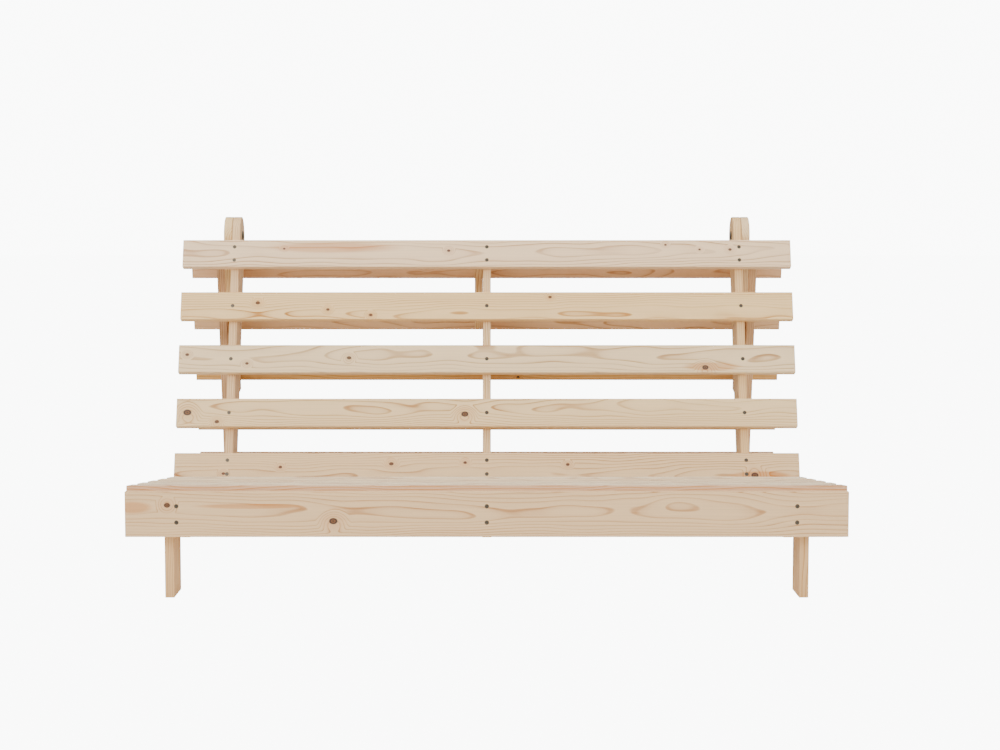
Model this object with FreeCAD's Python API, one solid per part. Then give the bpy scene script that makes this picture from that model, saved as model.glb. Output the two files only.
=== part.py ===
import FreeCAD, Part
import math
import os

# Slatted pine frame of a three-section futon sofa bed, standing as a sofa.
# The seat section carries the front rail and legs. The back section turns on the lower pivots and
# the rear section turns on the upper pivots, so that all three lie in one plane as a bed.
# +Z up, +Y towards the rear, origin on the floor under the middle of the sofa. Millimetres.

# Timber
BED_WIDTH = 1500.0          # length of every slat and of the front rail
BOARD = 20.0                # thickness of every board
SLAT_WIDTH = 70.0
BEARER_WIDTH = 95.0
RAIL_HEIGHT = 95.0
LEG_WIDTH = 95.0            # fixed legs
SWING_LEG_WIDTH = 70.0      # folding legs
SLAT_PITCH = 135.0
SLATS_PER_SECTION = 5
EASED_EDGE = 1.6            # small round on every board edge

# Layout of the sofa
SEAT_FRONT_HEIGHT = 238.0   # top of the first seat slat
RAIL_BELOW_SLAT = 10.0      # front rail's top edge under the slat's top
SEAT_SLOPE = 5.8            # degrees, down to the rear
BACK_RECLINE = 20.0         # degrees from upright
REAR_LEAN = 11.5            # degrees from upright
SIDE_BEARER_X = 633.0       # inner face of the seat's side bearers
TURNING_GAP = 0.5           # between boards that turn on each other
FRONT_LEG_SETBACK = 10.0    # behind the front rail

# Distances from the pivots along each section
SEAT_SLAT_TO_LOWER_PIVOT = 90.0
LOWER_PIVOT_TO_BACK_SLAT = 40.0
BACK_SLAT_TO_UPPER_PIVOT = 34.0
UPPER_PIVOT_TO_REAR_SLAT = 51.0
SEAT_BEARER_TAIL = 350.0    # seat bearer past the lower pivot
TAIL_RELIEF = 4.0           # the tail passes under the back slats
TAIL_CUT_LENGTH = 70.0      # slanted underside at the end of the tail
TAIL_CUT_ANGLE = 26.0
NOSE_LENGTH = 120.0         # slanted underside at the front of the seat bearers
NOSE_ABOVE_RAIL_EDGE = 2.0
REST_CLEARANCE = 0.3        # between the tail and the cleat that it rests on
REST_LENGTH = 100.0
REST_START_SHARE = 0.25     # the cleat starts this far along the tail's slanted cut
REST_FLOOR_GAP = 6.0
KNUCKLE_SLAT_GAP = 4.0      # from the knuckle's end to the second rear slat
CENTER_BEARER_START = 185.0  # rear centre bearer, from the upper pivots
CLEAT_LAP = 50.0            # centre cleat along the rear centre bearer
CLEAT_WIDTH = 70.0
CLEAT_GAP = 0.4             # to the side of the back's centre bearer
REAR_LEG_FLOOR_GAP = 11.0   # fixed rear leg's lowest corner, along the rear section
REAR_SWING_LEG_GAP = 23.0   # past the knuckle's end
SEAT_SWING_LEG_FROM_PIVOT = 140.0
LEG_TOP_GAP = 1.0           # front leg's top edge under the slats
LEG_PAST_BEARER = 30.0      # fixed rear leg, past its bearer's middle line

# Fasteners
SCREW_HEAD_RADIUS = 4.6
SCREW_SHANK_RADIUS = 2.2
SCREW_HEAD_DEPTH = 2.6
SCREW_TIP = 4.0
SCREW_SUNK = 0.4
SCREW_BITE = 28.0           # length in the second board
SCREW_CLEARANCE = 0.1
RECESS_LENGTH = 5.0
RECESS_WIDTH = 1.1
RECESS_DEPTH = 1.6
PAIR_OFFSET = 17.0          # of each screw in a pair from the board's middle
SHORT_BITE_SHARE = 0.75     # of a board's thickness, for screws driven sideways
COUNTERBORE = 1.2           # clear of wood over a screw's head
LEG_SCREWS = (25.5, 22.0)   # from the middle of a front leg's four screws
LEG_SCREW_DROP = 8.5        # that middle, below the rail's middle line
KNUCKLE_SCREWS = (41.0, 24.0)
REAR_LEG_SCREWS = (25.5, 17.0)
REAR_LEG_SCREW_DROP = 8.5
CLEAT_SCREW_SHARES = (0.3, 0.7)  # along the centre cleat's lap
BOLT_RADIUS = 5.0
BOLT_CLEARANCE = 0.06
HEAD_RADIUS = 9.0           # low round heads of the pivot bolts and sleeve nuts
HEAD_HEIGHT = 2.0
HEAD_ROUND = 1.2
SOCKET_RADIUS = 3.6         # hexagon socket in each head, across the corners
SOCKET_DEPTH = 1.4
SLEEVE_LENGTH = 12.0        # sleeve nut under its head
THREAD_RADIUS = 3.0         # of the bolt, inside the sleeve
THREAD_CLEARANCE = 0.05
THREAD_END_GAP = 1.5
SLEEVE_GAP = 0.5            # from the sleeve's end to the bolt's shoulder
WASHER_RADIUS = 12.0
WASHER_THICKNESS = 1.0
CUT_PAST = 1.0              # cutting tools run past the surface

HALF_BEARER = BEARER_WIDTH / 2
SLAT_SPAN = (SLATS_PER_SECTION - 1) * SLAT_PITCH + SLAT_WIDTH
CENTER_X = (-BOARD / 2, BOARD / 2)
BACK_X = (SIDE_BEARER_X - TURNING_GAP - BOARD, SIDE_BEARER_X - TURNING_GAP)
SEAT_X = (SIDE_BEARER_X, SIDE_BEARER_X + BOARD)
REAR_X = (SEAT_X[1] + TURNING_GAP, SEAT_X[1] + TURNING_GAP + BOARD)
KNUCKLE_X = (REAR_X[0] - BOARD, REAR_X[0])
FRONT_LEG_X = (SEAT_X[1], SEAT_X[1] + BOARD)
REAR_LEG_X = (REAR_X[1], REAR_X[1] + BOARD)
REAR_SWING_X = (REAR_X[0] - TURNING_GAP - BOARD, REAR_X[0] - TURNING_GAP)
SEAT_SWING_X = (SEAT_X[1] + TURNING_GAP, SEAT_X[1] + TURNING_GAP + BOARD)
CLEAT_X = (-BOARD / 2 - CLEAT_GAP - BOARD, -BOARD / 2 - CLEAT_GAP)


class Section:
    """A section's own side view: along runs down its boards, up stands square to its slats."""

    def __init__(self, origin, along, up):
        self.origin = origin
        self.along = along
        self.up = up

    def at(self, a, b):
        y = self.origin[0] + a * self.along[0] + b * self.up[0]
        z = self.origin[1] + a * self.along[1] + b * self.up[1]
        return (y, z)


def rad(degrees):
    return math.radians(degrees)


# The first slat's lower front edge meets the rail's rear face
SEAT_FRONT_Y = BOARD + BOARD * math.sin(rad(SEAT_SLOPE))
seat = Section((SEAT_FRONT_Y, SEAT_FRONT_HEIGHT),
               (math.cos(rad(SEAT_SLOPE)), -math.sin(rad(SEAT_SLOPE))),
               (math.sin(rad(SEAT_SLOPE)), math.cos(rad(SEAT_SLOPE))))
LOWER_PIVOT_A = SLAT_SPAN + SEAT_SLAT_TO_LOWER_PIVOT
LOWER_PIVOT_B = -BOARD - HALF_BEARER
lower_pivot = seat.at(LOWER_PIVOT_A, LOWER_PIVOT_B)
TAIL_A = LOWER_PIVOT_A + SEAT_BEARER_TAIL
TAIL_RISE = TAIL_CUT_LENGTH * math.tan(rad(TAIL_CUT_ANGLE))

back = Section(lower_pivot,
               (math.sin(rad(BACK_RECLINE)), math.cos(rad(BACK_RECLINE))),
               (-math.cos(rad(BACK_RECLINE)), math.sin(rad(BACK_RECLINE))))
UPPER_PIVOT_A = LOWER_PIVOT_TO_BACK_SLAT + SLAT_SPAN + BACK_SLAT_TO_UPPER_PIVOT
upper_pivot = back.at(UPPER_PIVOT_A, 0)

rear = Section(upper_pivot,
               (math.sin(rad(REAR_LEAN)), -math.cos(rad(REAR_LEAN))),
               (math.cos(rad(REAR_LEAN)), math.sin(rad(REAR_LEAN))))

SHORT_BITE = BOARD * SHORT_BITE_SHARE

# From a bearer's middle line to the floor when the frame lies flat as a bed
BED_LEG = SEAT_FRONT_HEIGHT - BOARD - HALF_BEARER


def floor_reach(b):
    """How far along the rear section the line at b meets the floor."""
    return (rear.origin[1] + b * rear.up[1]) / -rear.along[1]


REAR_LEG_A = floor_reach(-BED_LEG) - REAR_LEG_FLOOR_GAP - LEG_WIDTH / 2
KNUCKLE_LENGTH = UPPER_PIVOT_TO_REAR_SLAT + SLAT_PITCH - KNUCKLE_SLAT_GAP
REAR_SWING_LEG_A = KNUCKLE_LENGTH + REAR_SWING_LEG_GAP + SWING_LEG_WIDTH / 2


def vec(x, yz):
    return FreeCAD.Vector(x, yz[0], yz[1])


def ease(solid):
    return solid.makeFillet(EASED_EDGE, solid.Edges)


def outline(points, x_range):
    """An eased board whose side view is the polygon through points."""
    corners = [vec(x_range[0], p) for p in points]
    face = Part.Face(Part.makePolygon(corners + corners[:1]))
    return ease(face.extrude(FreeCAD.Vector(x_range[1] - x_range[0], 0, 0)))


def bar(section, a_range, b_range, x_range):
    points = [section.at(a_range[0], b_range[0]), section.at(a_range[1], b_range[0]),
              section.at(a_range[1], b_range[1]), section.at(a_range[0], b_range[1])]
    return outline(points, x_range)


def rounded_bar(section, a_range, half_width, x_range, round_far):
    """A bar on the middle line with a half-round at its start, and at its far end if round_far."""
    a0, a1 = a_range

    def p(a, b):
        return vec(x_range[0], section.at(a, b))

    edges = [Part.Arc(p(a0, half_width), p(a0 - half_width, 0), p(a0, -half_width)).toShape(),
             Part.makeLine(p(a0, -half_width), p(a1, -half_width))]
    if round_far:
        edges.append(Part.Arc(p(a1, -half_width), p(a1 + half_width, 0), p(a1, half_width)).toShape())
    else:
        edges.append(Part.makeLine(p(a1, -half_width), p(a1, half_width)))
    edges.append(Part.makeLine(p(a1, half_width), p(a0, half_width)))
    face = Part.Face(Part.Wire(edges))
    return ease(face.extrude(FreeCAD.Vector(x_range[1] - x_range[0], 0, 0)))


def mirrored(x_range, side):
    return tuple(sorted((side * x_range[0], side * x_range[1])))


def middle(x_range):
    return (x_range[0] + x_range[1]) / 2


nodes = {}
SIDES = (("left", -1), ("right", 1))
FOUR_CORNERS = ((-1, -1), (-1, 1), (1, -1), (1, 1))


def add(name, solids):
    nodes[name] = solids if isinstance(solids, list) else [solids]


# Screws -------------------------------------------------------------------------------------

def screw_profile(grow, bite, above):
    """Half section of a countersunk screw, tip at the end of bite, head's face at zero."""
    tip = BOARD - SCREW_SUNK + bite
    points = [(0, -above), (SCREW_HEAD_RADIUS + grow, -above), (SCREW_HEAD_RADIUS + grow, 0),
              (SCREW_SHANK_RADIUS + grow, SCREW_HEAD_DEPTH), (SCREW_SHANK_RADIUS + grow, tip - SCREW_TIP),
              (0, tip + grow)]
    if above == 0:
        points = points[:1] + points[2:]
    corners = [FreeCAD.Vector(r, 0, d) for r, d in points]
    face = Part.Face(Part.makePolygon(corners + corners[:1]))
    return face.revolve(FreeCAD.Vector(0, 0, 0), FreeCAD.Vector(0, 0, 1), 360)


def screw_body(bite):
    body = screw_profile(0, bite, 0)
    for size in ((RECESS_LENGTH, RECESS_WIDTH), (RECESS_WIDTH, RECESS_LENGTH)):
        slot = Part.makeBox(size[0], size[1], RECESS_DEPTH * 2,
                            FreeCAD.Vector(-size[0] / 2, -size[1] / 2, -RECESS_DEPTH))
        body = body.cut(slot)
    return body


def screw(point, direction, bores, bite=SCREW_BITE):
    """A screw driven at point along direction. Its bore is added to the list bores."""
    turn = FreeCAD.Rotation(FreeCAD.Vector(0, 0, 1), direction)
    place = FreeCAD.Placement(point + direction * SCREW_SUNK, turn)
    body = screw_body(bite)
    body.Placement = place
    bore = screw_profile(SCREW_CLEARANCE, bite, COUNTERBORE)
    bore.Placement = place
    bores.append(bore)
    return body


def drill(name, bores):
    solids = []
    for solid in nodes[name]:
        near = [b for b in bores if b.BoundBox.intersect(solid.BoundBox)]
        solids.append(solid.cut(near).Solids[0] if near else solid)
    nodes[name] = solids


def screw_spots(index, count):
    """Places across a slat: a pair in the first and last slats, one in the others."""
    return (-PAIR_OFFSET, PAIR_OFFSET) if index in (0, count - 1) else (0.0,)


# Seat section -------------------------------------------------------------------------------

def build_seat():
    rail_top = SEAT_FRONT_HEIGHT - RAIL_BELOW_SLAT
    floor = Section((0, 0), (1, 0), (0, 1))
    half = BED_WIDTH / 2
    add("front_rail", bar(floor, (0, BOARD), (rail_top - RAIL_HEIGHT, rail_top), (-half, half)))
    for i in range(SLATS_PER_SECTION):
        a = i * SLAT_PITCH
        add("seat_slat_%d" % (i + 1), bar(seat, (a, a + SLAT_WIDTH), (-BOARD, 0), (-half, half)))
    slope = math.tan(rad(SEAT_SLOPE))
    top, bottom = -BOARD, -BOARD - BEARER_WIDTH
    under_slat = SEAT_FRONT_HEIGHT + (SEAT_FRONT_Y - BOARD) * slope - BOARD / math.cos(rad(SEAT_SLOPE))
    nose = rail_top - RAIL_HEIGHT + NOSE_ABOVE_RAIL_EDGE
    front = [seat.at(NOSE_LENGTH, bottom), (BOARD, nose), (BOARD, under_slat), seat.at(SLAT_SPAN, top)]
    long_points = front + [seat.at(SLAT_SPAN + TAIL_RELIEF, top - TAIL_RELIEF),
                           seat.at(TAIL_A, top - TAIL_RELIEF),
                           seat.at(TAIL_A, bottom + TAIL_RISE),
                           seat.at(TAIL_A - TAIL_CUT_LENGTH, bottom)]
    for side, sign in SIDES:
        add("seat_bearer_" + side, outline(long_points, mirrored(SEAT_X, sign)))
        leg_front = BOARD + FRONT_LEG_SETBACK
        leg_back = leg_front + LEG_WIDTH
        leg_top = under_slat - LEG_TOP_GAP + BOARD * slope
        leg = [(leg_front, 0), (leg_back, 0), (leg_back, leg_top - leg_back * slope),
               (leg_front, leg_top - leg_front * slope)]
        add("front_leg_" + side, outline(leg, mirrored(FRONT_LEG_X, sign)))
        a = LOWER_PIVOT_A - SEAT_SWING_LEG_FROM_PIVOT
        forward = Section(seat.at(a, LOWER_PIVOT_B), (-seat.along[0], -seat.along[1]), seat.up)
        add("seat_swing_leg_" + side, rounded_bar(forward, (0, BED_LEG), SWING_LEG_WIDTH / 2,
                                                  mirrored(SEAT_SWING_X, sign), False))
    add("seat_bearer_center", outline(front + [seat.at(SLAT_SPAN, bottom)], CENTER_X))


def seat_screws():
    bores = []
    spots = (-middle(SEAT_X), 0, middle(SEAT_X))
    down = vec(0, (-seat.up[0], -seat.up[1]))
    screws = []
    for i in range(SLATS_PER_SECTION):
        # The first slat has one row, behind the tips of the rail's screws
        for across in screw_spots(i, SLATS_PER_SECTION) if i else (PAIR_OFFSET,):
            for x in spots:
                point = vec(x, seat.at(i * SLAT_PITCH + SLAT_WIDTH / 2 + across, 0))
                screws.append(screw(point, down, bores))
    add("seat_slat_screws", screws)
    rail_middle = SEAT_FRONT_HEIGHT - RAIL_BELOW_SLAT - RAIL_HEIGHT / 2
    add("rail_screws", [screw(FreeCAD.Vector(x, 0, rail_middle + up), FreeCAD.Vector(0, 1, 0), bores)
                        for x in spots for up in (-PAIR_OFFSET, PAIR_OFFSET)])
    inward = []
    leg_y = BOARD + FRONT_LEG_SETBACK + LEG_WIDTH / 2
    for side, sign in SIDES:
        for y, z in FOUR_CORNERS:
            point = FreeCAD.Vector(sign * FRONT_LEG_X[1], leg_y + y * LEG_SCREWS[0],
                                   rail_middle - LEG_SCREW_DROP + z * LEG_SCREWS[1])
            inward.append(screw(point, FreeCAD.Vector(-sign, 0, 0), bores, SHORT_BITE))
    add("front_leg_screws", inward)
    for name in list(nodes):
        if not name.endswith("screws"):
            drill(name, bores)


# Back section -------------------------------------------------------------------------------

def back_slat_start(i):
    """Slats are numbered from the top down."""
    return LOWER_PIVOT_TO_BACK_SLAT + (SLATS_PER_SECTION - 1 - i) * SLAT_PITCH


def build_back():
    half = BED_WIDTH / 2
    made = []
    for side, sign in SIDES:
        made.append("back_bearer_" + side)
        add(made[-1], rounded_bar(back, (0, UPPER_PIVOT_A), HALF_BEARER, mirrored(BACK_X, sign), True))
    made.append("back_bearer_center")
    add(made[-1], bar(back, (LOWER_PIVOT_TO_BACK_SLAT, LOWER_PIVOT_TO_BACK_SLAT + SLAT_SPAN),
                      (-HALF_BEARER, HALF_BEARER), CENTER_X))
    for i in range(SLATS_PER_SECTION):
        a = back_slat_start(i)
        made.append("back_slat_%d" % (i + 1))
        add(made[-1], bar(back, (a, a + SLAT_WIDTH), (HALF_BEARER, HALF_BEARER + BOARD), (-half, half)))
    bores = []
    into = vec(0, (-back.up[0], -back.up[1]))
    screws = []
    for i in range(SLATS_PER_SECTION):
        for across in screw_spots(i, SLATS_PER_SECTION):
            for x in (-middle(BACK_X), 0, middle(BACK_X)):
                point = vec(x, back.at(back_slat_start(i) + SLAT_WIDTH / 2 + across, HALF_BEARER + BOARD))
                screws.append(screw(point, into, bores))
    add("back_slat_screws", screws)
    for name in made:
        drill(name, bores)


# Rear section -------------------------------------------------------------------------------

def rest_points():
    """Side view of the cleat under the tail of a seat bearer."""
    y0, z0 = seat.at(TAIL_A - TAIL_CUT_LENGTH, -BOARD - BEARER_WIDTH)
    y1, z1 = seat.at(TAIL_A, -BOARD - BEARER_WIDTH + TAIL_RISE)
    steep = (z1 - z0) / (y1 - y0)
    drop = REST_CLEARANCE * math.hypot(1, steep)
    start = y0 + (y1 - y0) * REST_START_SHARE
    end = start + REST_LENGTH
    top = z1 - drop
    return [(start, REST_FLOOR_GAP), (end, REST_FLOOR_GAP), (end, top), (y1, top),
            (start, z0 + (start - y0) * steep - drop)]


def standing_points(start):
    """Side view of a rear bearer that stands on the floor."""
    return [rear.at(start, -HALF_BEARER), rear.at(start, HALF_BEARER),
            rear.at(floor_reach(HALF_BEARER), HALF_BEARER), rear.at(floor_reach(-HALF_BEARER), -HALF_BEARER)]


def build_rear():
    half = BED_WIDTH / 2
    made = []
    for side, sign in SIDES:
        made.append("rear_bearer_" + side)
        add(made[-1], outline(standing_points(UPPER_PIVOT_TO_REAR_SLAT), mirrored(REAR_X, sign)))
        made.append("knuckle_" + side)
        add(made[-1], rounded_bar(rear, (0, KNUCKLE_LENGTH), HALF_BEARER, mirrored(KNUCKLE_X, sign), False))
        made.append("rest_cleat_" + side)
        add(made[-1], outline(rest_points(), mirrored(KNUCKLE_X, sign)))
        made.append("rear_leg_" + side)
        add(made[-1], bar(rear, (REAR_LEG_A - LEG_WIDTH / 2, REAR_LEG_A + LEG_WIDTH / 2),
                          (-BED_LEG, LEG_PAST_BEARER), mirrored(REAR_LEG_X, sign)))
        add("rear_swing_leg_" + side, rounded_bar(
            rear, (REAR_SWING_LEG_A, REAR_SWING_LEG_A + BED_LEG), SWING_LEG_WIDTH / 2,
            mirrored(REAR_SWING_X, sign), False))
    made.append("rear_bearer_center")
    add(made[-1], outline(standing_points(CENTER_BEARER_START), (CLEAT_X[1], CLEAT_X[1] + BOARD)))
    made.append("center_cleat")
    add(made[-1], bar(rear, (UPPER_PIVOT_TO_REAR_SLAT, CENTER_BEARER_START + CLEAT_LAP),
                      (HALF_BEARER - CLEAT_WIDTH, HALF_BEARER), CLEAT_X))
    for i in range(SLATS_PER_SECTION):
        a = UPPER_PIVOT_TO_REAR_SLAT + i * SLAT_PITCH
        made.append("rear_slat_%d" % (i + 1))
        add(made[-1], bar(rear, (a, a + SLAT_WIDTH), (HALF_BEARER, HALF_BEARER + BOARD), (-half, half)))
    rear_screws(made)


def rear_screws(made):
    bores = []
    into = vec(0, (-rear.up[0], -rear.up[1]))
    screws = []
    for i in range(SLATS_PER_SECTION):
        center_x = middle(CLEAT_X) if i == 0 else middle(CENTER_X)
        for across in screw_spots(i, SLATS_PER_SECTION):
            for x in (-middle(REAR_X), center_x, middle(REAR_X)):
                a = UPPER_PIVOT_TO_REAR_SLAT + i * SLAT_PITCH + SLAT_WIDTH / 2 + across
                screws.append(screw(vec(x, rear.at(a, HALF_BEARER + BOARD)), into, bores))
    add("rear_slat_screws", screws)
    inward = []
    for side, sign in SIDES:
        into = FreeCAD.Vector(sign, 0, 0)
        inner = sign * KNUCKLE_X[0]
        lap = (UPPER_PIVOT_TO_REAR_SLAT + KNUCKLE_LENGTH) / 2
        for a, b in FOUR_CORNERS:
            point = vec(inner, rear.at(lap + a * KNUCKLE_SCREWS[0], b * KNUCKLE_SCREWS[1]))
            inward.append(screw(point, into, bores, SHORT_BITE))
    add("knuckle_screws", inward)
    rests = []
    rest = rest_points()
    for side, sign in SIDES:
        for back_from_end in (PAIR_OFFSET, PAIR_OFFSET * 2):
            point = vec(sign * KNUCKLE_X[0], (rest[1][0] - back_from_end, (rest[1][1] + rest[2][1]) / 2))
            rests.append(screw(point, FreeCAD.Vector(sign, 0, 0), bores, SHORT_BITE))
    add("rest_cleat_screws", rests)
    legs = []
    for side, sign in SIDES:
        for a, b in FOUR_CORNERS:
            point = vec(sign * REAR_LEG_X[1], rear.at(REAR_LEG_A + a * REAR_LEG_SCREWS[0],
                                                      b * REAR_LEG_SCREWS[1] - REAR_LEG_SCREW_DROP))
            legs.append(screw(point, FreeCAD.Vector(-sign, 0, 0), bores, SHORT_BITE))
    add("rear_leg_screws", legs)
    cleats = []
    for share in CLEAT_SCREW_SHARES:
        spot = rear.at(CENTER_BEARER_START + CLEAT_LAP * share, HALF_BEARER - CLEAT_WIDTH / 2)
        cleats.append(screw(vec(CLEAT_X[0], spot), FreeCAD.Vector(1, 0, 0), bores, SHORT_BITE))
    add("center_cleat_screws", cleats)
    for name in made:
        drill(name, bores)


# Pivot bolts --------------------------------------------------------------------------------

def disc(x0, x1, yz, radius):
    low, high = sorted((x0, x1))
    return Part.makeCylinder(radius, high - low, vec(low, yz), FreeCAD.Vector(1, 0, 0))


def hexagon(x0, x1, yz, radius):
    low, high = sorted((x0, x1))
    corners = [vec(low, (yz[0] + radius * math.cos(rad(60 * k)), yz[1] + radius * math.sin(rad(60 * k))))
               for k in range(7)]
    return Part.Face(Part.makePolygon(corners)).extrude(FreeCAD.Vector(high - low, 0, 0))


def headed_pin(face, inward, yz, length):
    """A pin under a low round head with a socket. The head's underside is at face."""
    top = face - inward * HEAD_HEIGHT
    head = disc(face, top, yz, HEAD_RADIUS)
    rim = [e for e in head.Edges
           if e.Curve.TypeId == "Part::GeomCircle" and abs(e.CenterOfMass.x - top) < 0.01]
    head = head.makeFillet(HEAD_ROUND, rim)
    pin = disc(face, face + inward * length, yz, BOLT_RADIUS)
    socket = hexagon(top - inward * CUT_PAST, top + inward * SOCKET_DEPTH, yz, SOCKET_RADIUS)
    return head.fuse(pin).removeSplitter().cut(socket).Solids[0]


def pivot(name, yz, x_inner, x_outer, drilled):
    """Bolt, sleeve nut and washers through two boards on each side, with the bolt's head outside."""
    bolts, nuts, washers = [], [], []
    for side, sign in SIDES:
        hole = disc(sign * (x_inner - CUT_PAST), sign * (x_outer + CUT_PAST), yz,
                    BOLT_RADIUS + BOLT_CLEARANCE)
        for board in drilled:
            nodes[board + side] = [s.cut(hole).Solids[0] for s in nodes[board + side]]
        for x0, x1 in ((x_outer, x_outer + WASHER_THICKNESS), (x_inner - WASHER_THICKNESS, x_inner)):
            ring = disc(sign * x0, sign * x1, yz, WASHER_RADIUS)
            washers.append(ring.cut(disc(sign * x0, sign * x1, yz, BOLT_RADIUS + BOLT_CLEARANCE)))
        bolt_face = x_outer + WASHER_THICKNESS
        nut_face = x_inner - WASHER_THICKNESS
        sleeve_end = nut_face + SLEEVE_LENGTH
        shoulder = sleeve_end + SLEEVE_GAP
        shank = headed_pin(sign * bolt_face, -sign, yz, bolt_face - shoulder)
        thread = disc(sign * (nut_face + THREAD_END_GAP), sign * shoulder, yz, THREAD_RADIUS)
        bolts.append(shank.fuse(thread).Solids[0])
        tapped = disc(sign * (nut_face + THREAD_END_GAP / 2), sign * (sleeve_end + CUT_PAST), yz,
                      THREAD_RADIUS + THREAD_CLEARANCE)
        nuts.append(headed_pin(sign * nut_face, sign, yz, SLEEVE_LENGTH).cut(tapped).Solids[0])
    add(name + "_bolts", bolts)
    add(name + "_nuts", nuts)
    add(name + "_washers", washers)


def build_pivots():
    seat_leg = seat.at(LOWER_PIVOT_A - SEAT_SWING_LEG_FROM_PIVOT, LOWER_PIVOT_B)
    rear_leg = rear.at(REAR_SWING_LEG_A, 0)
    pivot("lower_pivot", lower_pivot, BACK_X[0], SEAT_X[1], ("back_bearer_", "seat_bearer_"))
    pivot("upper_pivot", upper_pivot, BACK_X[0], KNUCKLE_X[1], ("back_bearer_", "knuckle_"))
    pivot("seat_leg_pivot", seat_leg, SEAT_X[0], SEAT_SWING_X[1], ("seat_bearer_", "seat_swing_leg_"))
    pivot("rear_leg_pivot", rear_leg, REAR_SWING_X[0], REAR_X[1], ("rear_bearer_", "rear_swing_leg_"))
    return {"lower_pivot": lower_pivot, "upper_pivot": upper_pivot,
            "seat_leg": seat_leg, "rear_leg": rear_leg}


build_seat()
seat_screws()
build_back()
build_rear()
axes = build_pivots()

# The origin is on the floor under the middle of the sofa's depth
box = FreeCAD.BoundBox()
for solids in nodes.values():
    for solid in solids:
        box.add(solid.BoundBox)
centring = -(box.YMin + box.YMax) / 2
os.makedirs("parts", exist_ok=True)
for name, solids in nodes.items():
    shape = Part.makeCompound(solids) if len(solids) > 1 else solids[0]
    shape.translate(FreeCAD.Vector(0, centring, 0))
    if not shape.isValid():
        raise RuntimeError("not valid: " + name)
    shape.exportStep("parts/%s.step" % name)

print("nodes", len(nodes))
print("size", round(box.XLength, 2), round(box.YLength, 2), round(box.ZLength, 2),
      "lowest", round(box.ZMin, 3))
for name, (y, z) in axes.items():
    print("axis", name, round(y + centring, 3), round(z, 3))
print("centring", round(centring, 3))
print("back fold", 90 + SEAT_SLOPE - BACK_RECLINE, "rear fold", 180 - BACK_RECLINE - REAR_LEAN)
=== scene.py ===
import bpy
import bmesh
import math
import random
from mathutils import Matrix, Vector


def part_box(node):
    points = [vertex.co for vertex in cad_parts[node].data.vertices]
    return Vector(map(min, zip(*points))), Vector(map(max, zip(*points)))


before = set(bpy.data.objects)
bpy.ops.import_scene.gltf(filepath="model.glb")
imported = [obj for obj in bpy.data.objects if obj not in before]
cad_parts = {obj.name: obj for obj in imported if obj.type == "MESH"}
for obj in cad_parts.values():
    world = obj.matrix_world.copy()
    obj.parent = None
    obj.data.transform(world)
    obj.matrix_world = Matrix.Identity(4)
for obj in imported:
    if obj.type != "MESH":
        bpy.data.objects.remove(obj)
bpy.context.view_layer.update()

MM = 0.001
X_AXIS = Vector((1, 0, 0))
Y_AXIS = Vector((0, 1, 0))
Z_AXIS = Vector((0, 0, 1))


# Camera and studio --------------------------------------------------------------------------

CAMERA_BACK = 4.7875        # from the middle of the sofa, metres
CAMERA_HEIGHT = 0.815
CAMERA_TILT = 4.676         # degrees below level
FOCAL_WIDTHS = 2.0539       # focal length in sensor widths
SENSOR = 36.0
SIDE_SHIFT = 0.0132
PAPER = "#F9FBFA"
PAPER_MATT = "#F6F7F6"
PAPER_GLOW = 10.5           # brightness of the lit backdrop, to the eye only
GLOW_SHARE = 0.96           # the rest of the floor's look takes light and shadow
ROOM_LIGHT = 0.6
PAPER_HALF = 30.0           # metres
PAPER_DROP = 0.5 * MM       # below the feet, so that the faces don't share a plane
# Each softbox: name, place, the point it faces, its width and height, all in metres, and its watts
SOFTBOXES = (
    ("key", (-2.4, -3.6, 3.0), (0, 0, 0.4), (2.6, 2.0), 150),
    ("fill", (2.8, -3.4, 2.0), (0, 0, 0.4), (2.6, 2.0), 80),
    ("overhead", (0, -0.4, 3.4), (0, 0, 0.2), (3.0, 2.0), 90),
)


def add_camera():
    data = bpy.data.cameras.new("camera")
    data.sensor_width = SENSOR
    data.lens = SENSOR * FOCAL_WIDTHS
    data.shift_x = SIDE_SHIFT
    camera = bpy.data.objects.new("camera", data)
    camera.location = (0, -CAMERA_BACK, CAMERA_HEIGHT)
    camera.rotation_euler = (math.radians(90 - CAMERA_TILT), 0, 0)
    bpy.context.collection.objects.link(camera)
    bpy.context.scene.camera = camera


def add_softbox(name, place, target, size, watts):
    data = bpy.data.lights.new(name, "AREA")
    data.shape = "RECTANGLE"
    data.size, data.size_y = size
    data.energy = watts
    lamp = bpy.data.objects.new(name, data)
    lamp.location = place
    lamp.rotation_euler = (Vector(target) - Vector(place)).to_track_quat("-Z", "Y").to_euler()
    bpy.context.collection.objects.link(lamp)


# Materials ----------------------------------------------------------------------------------

def linear(hex_colour):
    """An sRGB hex colour as linear RGBA."""
    channels = [int(hex_colour[i:i + 2], 16) / 255 for i in (1, 3, 5)]
    return tuple(c / 12.92 if c <= 0.04045 else ((c + 0.055) / 1.055) ** 2.4 for c in channels) + (1.0,)


def node(tree, kind, inputs=None, **settings):
    """Adds a shader node with its settings, and sets or links its inputs."""
    made = tree.nodes.new("ShaderNode" + kind)
    for name, value in settings.items():
        setattr(made, name, value)
    for socket, value in (inputs or {}).items():
        if isinstance(value, bpy.types.NodeSocket):
            tree.links.new(value, made.inputs[socket])
        else:
            made.inputs[socket].default_value = value
    return made


def blank(name):
    material = bpy.data.materials.new(name)
    material.use_nodes = True
    tree = material.node_tree
    tree.nodes.clear()
    shader = node(tree, "BsdfPrincipled")
    node(tree, "OutputMaterial", {"Surface": shader.outputs[0]})
    return material, tree, shader


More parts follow.
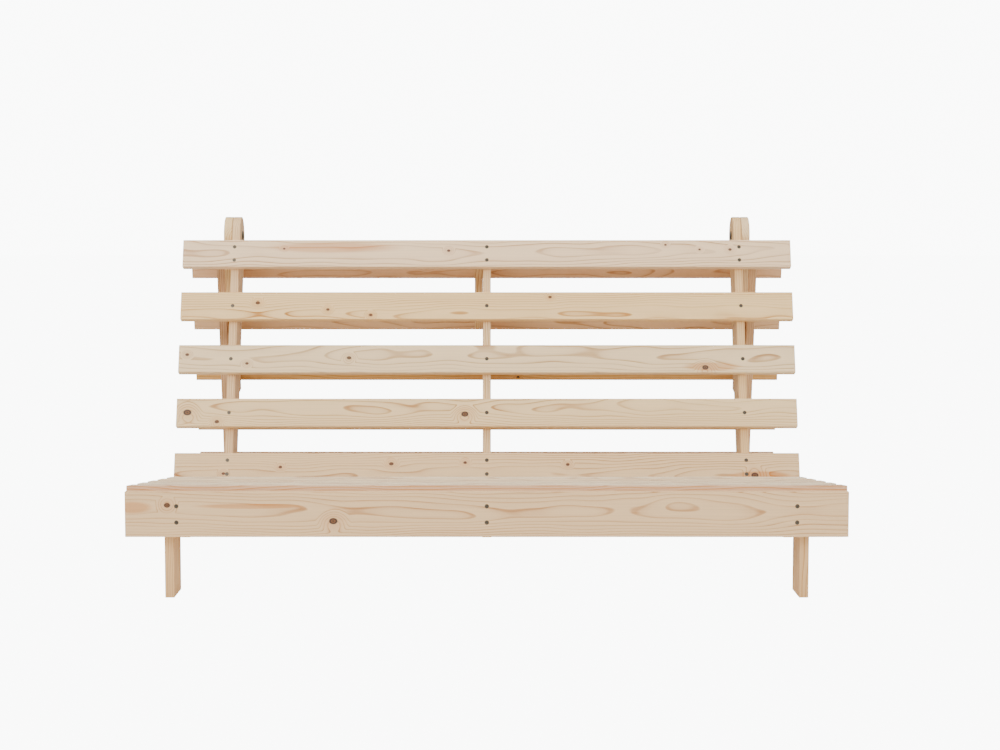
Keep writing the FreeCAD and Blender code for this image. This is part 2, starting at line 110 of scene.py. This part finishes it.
# Planed, lightly sealed pine: broad pale spring growth between thin amber summer lines, which run
# out into flames where a flat-sawn face cuts the rings, with dark brown knots that the grain flows
# round. The sealer leaves it almost matt.
PINE_SPRING = "#F2CF9C"
PINE_SUMMER = "#A86A2A"
PINE_HEART = "#CB8549"
PINE_PALE = "#F2E2C8"
PINE_STAIN = "#C47A2C"
KNOT_CORE = "#1E1208"
KNOT_RING = "#7C5029"
RING_SPACING = 4.0 * MM     # fast-grown pine, and coarse enough for the lines to show
RING_SPREAD = (0.85, 1.25)  # how boards differ in it
PITH_ASIDE = 26 * MM        # furthest that a log's pith lies to the side of its board
PITH_DEPTH = (30, 62)       # of the pith, below or above the board's middle, mm
LOG_REACH = 40              # how far apart in the noise the boards are cut
TAPER = 0.010               # how fast the rings run out along a board
WANDER = 34 * MM            # how far the slow bends carry the grain
WANDER_LENGTH = 420 * MM    # of those bends, along the grain
WANDER_WIDTH = 111 * MM     # and across it
FIBRE_WIDTH = 1.4 * MM      # real fibres are far finer: drawn as coarse as they need to be to show
FIBRE_LENGTH = 200 * MM
STREAK_WIDTH = 22 * MM      # of the bands where the summer lines are stronger or weaker
STREAK_LENGTH = 770 * MM
# Depth of colour through one year's ring, from spring growth to the end of summer's
RING_STOPS = ((0.0, 0.0), (0.55, 0.08), (0.78, 0.35), (0.88, 1.0), (0.95, 0.9), (1.0, 0.05))
KNOT_FLATTEN = 0.75         # a knot is longer along the board
KNOT_HALO = 3.6             # radii from the knot to where the grain runs straight again
KNOT_RIM = 0.95             # radii at which the knot's dark wood ends
KNOT_SOLID = 0.7            # radii within which it is full
KNOT_SWELL = 13 * MM        # how far the grain is pushed aside
KNOT_WARMTH = 0.25          # of the heart's colour round a knot
KNOT_RINGS = 3.0            # to each radius
STAIN_FRAY = 1.2            # how much a stain's edge wanders, in half widths
STAIN_END = 1.85            # where a frayed stain ends, in half widths
STAIN_FULL = 1.3            # and where it is full
STAIN_IN_SPRING = 0.5       # its depth in spring growth, against 1 in a summer line
# How far the boards differ in tone
HUE_SHIFT = (-0.003, 0.006)
SATURATION = (0.92, 1.15)
BRIGHTNESS = (0.95, 1.03)
# The planed surface
RING_HEIGHT = 0.6           # of the summer lines, against 1 for the fibre
RELIEF = 0.35 * MM          # left by planing, softer in the spring growth


def knot_fields(tree, place, knots):
    """Fields round the knots, each knot (along, across, radius) in mm: halo, core and nearness."""
    halo = core = near = None
    for along, across, radius in knots:
        scale = 1 / (radius * MM)
        apart = node(tree, "VectorMath", {0: place, 1: (along * MM, across * MM, 0)},
                     operation="SUBTRACT").outputs[0]
        flat = node(tree, "VectorMath", {0: apart, 1: (scale * KNOT_FLATTEN, scale, 0)},
                    operation="MULTIPLY").outputs[0]
        far = node(tree, "VectorMath", {0: flat}, operation="LENGTH").outputs["Value"]
        bend = node(tree, "MapRange", {"Value": far, "From Min": KNOT_HALO, "From Max": KNOT_SOLID},
                    interpolation_type="SMOOTHSTEP").outputs[0]
        inside = node(tree, "MapRange", {"Value": far, "From Min": KNOT_RIM, "From Max": KNOT_SOLID},
                      interpolation_type="SMOOTHSTEP").outputs[0]
        if halo is None:
            halo, core, near = bend, inside, far
        else:
            halo = node(tree, "Math", {0: halo, 1: bend}, operation="MAXIMUM").outputs[0]
            core = node(tree, "Math", {0: core, 1: inside}, operation="MAXIMUM").outputs[0]
            near = node(tree, "Math", {0: near, 1: far}, operation="MINIMUM").outputs[0]
    return halo, core, near


def pine_rings(tree, place, slow, halo, draw):
    """Depth of ring colour where a board cuts the tapering, wandering cylinders of its log."""
    pith = (0, draw.uniform(-1, 1) * PITH_ASIDE, draw.choice((-1, 1)) * draw.uniform(*PITH_DEPTH) * MM)
    from_pith = node(tree, "VectorMath", {0: place, 1: pith}, operation="SUBTRACT").outputs[0]
    section = node(tree, "VectorMath", {0: from_pith, 1: (0, 1, 1)}, operation="MULTIPLY").outputs[0]
    radius = node(tree, "VectorMath", {0: section}, operation="LENGTH").outputs["Value"]
    along = node(tree, "SeparateXYZ", {0: place}).outputs[0]
    for field, reach in ((along, draw.choice((-1, 1)) * TAPER), (slow, WANDER), (halo, KNOT_SWELL)):
        if field is not None:
            radius = node(tree, "Math", {0: field, 1: reach, 2: radius},
                          operation="MULTIPLY_ADD").outputs[0]
    spacing = draw.uniform(*RING_SPREAD) * RING_SPACING
    count = node(tree, "Math", {0: radius, 1: spacing}, operation="DIVIDE").outputs[0]
    year = node(tree, "Math", {0: count}, operation="FRACT").outputs[0]
    ring = node(tree, "ValToRGB", {0: year})
    stops = ring.color_ramp.elements
    for position, _ in RING_STOPS[1:-1]:
        stops.new(position)
    for stop, (position, depth) in zip(stops, RING_STOPS):
        stop.position = position
        stop.color = (depth, depth, depth, 1)
    return ring.outputs[0]


def stained(tree, colour, place, slow, ring, stains):
    """The colour with its amber stains, each (along, across, half length, half width) in mm."""
    for along, across, half_length, half_width in stains:
        apart = node(tree, "VectorMath", {0: place, 1: (along * MM, across * MM, 0)},
                     operation="SUBTRACT").outputs[0]
        flat = node(tree, "VectorMath", {0: apart, 1: (1 / (half_length * MM), 1 / (half_width * MM), 0)},
                    operation="MULTIPLY").outputs[0]
        far = node(tree, "VectorMath", {0: flat}, operation="LENGTH").outputs["Value"]
        frayed = node(tree, "Math", {0: slow, 1: STAIN_FRAY, 2: far}, operation="MULTIPLY_ADD").outputs[0]
        patch = node(tree, "MapRange", {"Value": frayed, "From Min": STAIN_END, "From Max": STAIN_FULL},
                     interpolation_type="SMOOTHSTEP").outputs[0]
        depth = node(tree, "Math", {0: ring, 1: 1 - STAIN_IN_SPRING, 2: STAIN_IN_SPRING},
                     operation="MULTIPLY_ADD").outputs[0]
        share = node(tree, "Math", {0: patch, 1: depth}, operation="MULTIPLY").outputs[0]
        colour = node(tree, "Mix", {0: share, 6: colour, 7: linear(PINE_STAIN)},
                      data_type="RGBA").outputs[2]
    return colour


def knotted(tree, colour, halo, core, near):
    """The colour with warm wood round each knot, and the knot's own fine rings."""
    warm = node(tree, "Math", {0: halo, 1: KNOT_WARMTH}, operation="MULTIPLY").outputs[0]
    around = node(tree, "Mix", {0: warm, 6: colour, 7: linear(PINE_HEART)}, data_type="RGBA").outputs[2]
    turns = node(tree, "Math", {0: near, 1: KNOT_RINGS}, operation="MULTIPLY").outputs[0]
    rings = node(tree, "Math", {0: turns, 1: 1.0}, operation="PINGPONG").outputs[0]
    knot = node(tree, "Mix", {0: rings, 6: linear(KNOT_CORE), 7: linear(KNOT_RING)},
                data_type="RGBA").outputs[2]
    return node(tree, "Mix", {0: core, 6: around, 7: knot}, data_type="RGBA").outputs[2]


def pine(name, centre, grain, across, seed, knots=(), stains=(), lean_and_painted_shade=0.0):
    """Pine cut from its own place in a log, with the rings as a solid pattern."""
    draw = random.Random(seed)
    material, tree, shader = blank(name)
    turn = Matrix((grain, across, grain.cross(across))).transposed().to_euler()
    where = node(tree, "TexCoord").outputs["Object"]
    place = node(tree, "Mapping", {"Vector": where, "Location": centre, "Rotation": turn},
                 vector_type="TEXTURE").outputs[0]
    log = [draw.uniform(0, LOG_REACH)] * 3

    def growth(length, width, detail, distortion=0.0):
        """How the wood varies, slowly along the grain and quickly across it."""
        scales = (1 / length, 1 / width, 1 / width)
        stretched = node(tree, "VectorMath", {0: place, 1: scales}, operation="MULTIPLY").outputs[0]
        moved = node(tree, "VectorMath", {0: stretched, 1: log}, operation="ADD").outputs[0]
        return node(tree, "TexNoise", {"Vector": moved, "Scale": 1.0, "Detail": detail, "Roughness": 0.55,
                                       "Distortion": distortion}, noise_dimensions="3D").outputs[0]

    slow = growth(WANDER_LENGTH, WANDER_WIDTH, 2.0)
    fibre = growth(FIBRE_LENGTH, FIBRE_WIDTH, 3.0)
    streak = growth(STREAK_LENGTH, STREAK_WIDTH, 3.0, 0.4)
    halo, core, near = knot_fields(tree, place, knots)
    ring = pine_rings(tree, place, slow, halo, draw)

    strong = node(tree, "MapRange", {"Value": streak, "From Min": 0.3, "From Max": 0.72,
                                     "To Min": 0.25}).outputs[0]
    summer = node(tree, "Math", {0: ring, 1: strong}, operation="MULTIPLY").outputs[0]
    # a positive lean mixes in heartwood colour, a negative one the pale colour; on the rear boards this
    # lean is painted shade
    leaning = linear(PINE_HEART if lean_and_painted_shade > 0 else PINE_PALE)
    spring = tuple(a + (b - a) * abs(lean_and_painted_shade) for a, b in zip(linear(PINE_SPRING), leaning))
    colour = node(tree, "Mix", {0: summer, 6: spring, 7: linear(PINE_SUMMER)}, data_type="RGBA").outputs[2]
    colour = stained(tree, colour, place, slow, ring, stains)
    if knots:
        colour = knotted(tree, colour, halo, core, near)
    toned = node(tree, "HueSaturation", {"Hue": 0.5 + draw.uniform(*HUE_SHIFT),
                                         "Saturation": draw.uniform(*SATURATION),
                                         "Value": draw.uniform(*BRIGHTNESS), "Color": colour}).outputs[0]
    shade = node(tree, "MapRange", {"Value": fibre, "From Min": 0.25, "From Max": 0.75,
                                    "To Min": 0.9, "To Max": 1.05}).outputs[0]
    shaded = node(tree, "VectorMath", {0: toned, "Scale": shade}, operation="SCALE").outputs[0]
    rough = node(tree, "MapRange", {"Value": fibre, "From Min": 0.2, "From Max": 0.8,
                                    "To Min": 0.46, "To Max": 0.64}).outputs[0]
    height = node(tree, "Math", {0: ring, 1: RING_HEIGHT, 2: fibre}, operation="MULTIPLY_ADD").outputs[0]
    relief = node(tree, "Bump", {"Height": height, "Strength": 0.25, "Distance": RELIEF}).outputs[0]
    tree.links.new(shaded, shader.inputs["Base Color"])
    tree.links.new(rough, shader.inputs["Roughness"])
    tree.links.new(relief, shader.inputs["Normal"])
    return material


# Zinc-plated steel with a yellow passivate, dulled: dark grey with a faint gold cast, tumbled and so
# softly mottled, not mirror bright. The dark grey is partly painted shade: it is made far darker than the
# plating to stand in for the shadow in the sunk recesses round the heads.
ZINC_WITH_PAINTED_SHADE = "#565048"
ZINC_GOLD_WITH_PAINTED_SHADE = "#6C6350"
METAL_PIECES = ("screws", "bolts", "nuts", "washers")
ZINC_MOTTLE = 3.0 * MM      # the real mottle is finer: drawn as coarse as it needs to be to show


def zinc_plated_steel():
    material, tree, shader = blank("zinc_plated_steel")
    where = node(tree, "TexCoord").outputs["Object"]
    mottle = node(tree, "TexNoise", {"Vector": where, "Scale": 1 / ZINC_MOTTLE, "Detail": 3.0}).outputs[0]
    # the dark base colours carry painted shade for the recesses round the heads
    colour = node(tree, "Mix", {0: mottle, 6: linear(ZINC_WITH_PAINTED_SHADE), 7: linear(ZINC_GOLD_WITH_PAINTED_SHADE)},
                  data_type="RGBA").outputs[2]
    rough = node(tree, "MapRange", {"Value": mottle, "To Min": 0.3, "To Max": 0.5}).outputs[0]
    tree.links.new(colour, shader.inputs["Base Color"])
    tree.links.new(rough, shader.inputs["Roughness"])
    shader.inputs["Metallic"].default_value = 1.0
    return material


def studio_paper():
    """Seamless backdrop paper, lit until it is nearly white and hardly any shadow is left.

    Only the eye sees that brightness, so it doesn't light the wood from below.
    """
    material, tree, shader = blank("backdrop_paper")
    shader.inputs["Base Color"].default_value = linear(PAPER_MATT)
    shader.inputs["Roughness"].default_value = 0.9
    glow = node(tree, "Emission", {"Color": linear(PAPER), "Strength": PAPER_GLOW}).outputs[0]
    seen = node(tree, "LightPath").outputs["Is Camera Ray"]
    share = node(tree, "Math", {0: seen, 1: GLOW_SHARE}, operation="MULTIPLY").outputs[0]
    both = node(tree, "MixShader", {0: share, 1: shader.outputs[0], 2: glow}).outputs[0]
    output = next(n for n in tree.nodes if n.type == "OUTPUT_MATERIAL")
    tree.links.new(both, output.inputs["Surface"])
    return material


# Boards -------------------------------------------------------------------------------------

def middle_of(name):
    low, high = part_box(name)
    return (Vector(low) + Vector(high)) / 2


def direction(first, last):
    return (middle_of(last) - middle_of(first)).normalized()


seat_along = direction("seat_slat_1", "seat_slat_5")
back_along = direction("back_slat_1", "back_slat_5")
rear_along = direction("rear_slat_1", "rear_slat_5")

# Knots that stand out, as (along, across, radius) in mm from the middle of the board
KNOTS = {
    "front_rail": [(-662, 19, 6), (-318, -14, 8)],
    "back_slat_1": [(-94, 7, 4), (-500, 12, 3), (441, 22, 3), (525, 10, 3), (600, 10, 4)],
    "back_slat_2": [(-561, 7, 5), (-389, -10, 4), (-284, -24, 4), (155, 22, 4)],
    "back_slat_3": [(-729, 10, 4), (-583, -12, 4), (-335, 2, 5), (531, -22, 7)],
    "back_slat_4": [(-723, 0, 9), (-651, -23, 5), (-53, -4, 8)],
    "back_slat_5": [(-631, -16, 4), (-495, 0, 4), (-229, 8, 5), (-52, 11, 4), (194, 6, 4), (642, -20, 8)],
}
# Amber stains, as (along, across, half length, half width) in mm from the middle of the board. The first
# seat slat's entry only makes the band along its whole front edge darker amber.
STAINS = {
    "front_rail": [(-735, 14, 40, 12), (-490, 17, 100, 5)],
    "back_slat_1": [(-390, 15, 150, 14)],
    "back_slat_3": [(540, -20, 60, 10)],
    "back_slat_5": [(655, -22, 60, 10)],
    "seat_slat_1": [(0, 38, 4000, 7)],
}
# How far a board's colour leans to heartwood, or to the pale colour when below zero. The rear section's
# lean is painted shade: its boards are made warmer and more orange to stand in for the warm shade behind
# the back. The seat slats are made paler than the rest.
LEAN_AND_PAINTED_SHADE = {"rear": 0.5, "front_leg": 0.35, "front_rail": 0.15, "back_bearer": 0.2, "seat_slat": -0.6}


SHORT_BOARD = 0.4           # metres
WIDEST_BOARD = 0.09         # metres, of the part that knots are set in
KNOT_SEED = 900
KNOT_REACH = 0.46           # furthest loose knot along the board, as a share of its length
KNOT_ASIDE = 0.35           # and across it
KNOT_SIZES = (3, 7)         # mm


def loose_knots(draw, length, width):
    """A few small knots for a board with none of its own listed."""
    count = draw.choice((0, 1, 2, 3)) if length > SHORT_BOARD else draw.choice((0, 0, 1))
    knots = []
    for _ in range(count):
        along = draw.uniform(-KNOT_REACH, KNOT_REACH) * length / MM
        across = draw.uniform(-KNOT_ASIDE, KNOT_ASIDE) * width / MM
        knots.append((along, across, draw.uniform(*KNOT_SIZES)))
    return knots


def coat(name, material):
    """Gives a piece its one material."""
    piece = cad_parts[name]
    piece.data.materials.clear()
    piece.data.materials.append(material)


def finish_board(name, grain, across, number):
    low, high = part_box(name)
    span = Vector(high) - Vector(low)
    length = sum(abs(span[i] * grain[i]) for i in range(3))
    width = sum(abs(span[i] * across[i]) for i in range(3))
    draw = random.Random(KNOT_SEED + number)
    knots = KNOTS.get(name) or loose_knots(draw, length, min(width, WIDEST_BOARD))
    stains = STAINS.get(name, ())
    lean_and_painted_shade = next((w for start, w in LEAN_AND_PAINTED_SHADE.items() if name.startswith(start)), 0.0)
    coat(name, pine("pine_" + name, middle_of(name), grain, across, number, knots, stains, lean_and_painted_shade))


def grain_of(name):
    """Directions of a board's grain and of its width."""
    section = name.split("_")[0]
    down = {"seat": -seat_along, "back": -back_along, "rear": -rear_along}.get(section, -rear_along)
    if "_slat_" in name:
        return X_AXIS, down
    if name == "front_rail":
        return X_AXIS, Z_AXIS
    if name.startswith("front_leg"):
        return Z_AXIS, Y_AXIS
    if name.startswith("rear_leg"):
        return X_AXIS.cross(rear_along), rear_along
    if name.startswith("rest_cleat"):
        return Y_AXIS, Z_AXIS
    return down, X_AXIS.cross(down)


def add_studio():
    mesh = bpy.data.meshes.new("backdrop")
    form = bmesh.new()
    bmesh.ops.create_grid(form, x_segments=1, y_segments=1, size=PAPER_HALF)
    form.to_mesh(mesh)
    form.free()
    floor = bpy.data.objects.new("backdrop", mesh)
    floor.location = (0, 0, -PAPER_DROP)
    mesh.materials.append(studio_paper())
    bpy.context.collection.objects.link(floor)
    world = bpy.data.worlds.new("studio")
    world.use_nodes = True
    tree = world.node_tree
    room = tree.nodes["Background"]
    room.inputs["Color"].default_value = linear(PAPER)
    room.inputs["Strength"].default_value = ROOM_LIGHT
    paper = node(tree, "Background", {"Color": linear(PAPER), "Strength": PAPER_GLOW}).outputs[0]
    seen = node(tree, "LightPath").outputs["Is Camera Ray"]
    both = node(tree, "MixShader", {0: seen, 1: room.outputs[0], 2: paper}).outputs[0]
    tree.links.new(both, tree.nodes["World Output"].inputs["Surface"])
    bpy.context.scene.world = world
    for softbox in SOFTBOXES:
        add_softbox(*softbox)


def main():
    add_camera()
    steel = zinc_plated_steel()
    for number, name in enumerate(sorted(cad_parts)):
        if name.endswith(METAL_PIECES):
            coat(name, steel)
        else:
            grain, across = grain_of(name)
            finish_board(name, grain, across, number)
    add_studio()


main()
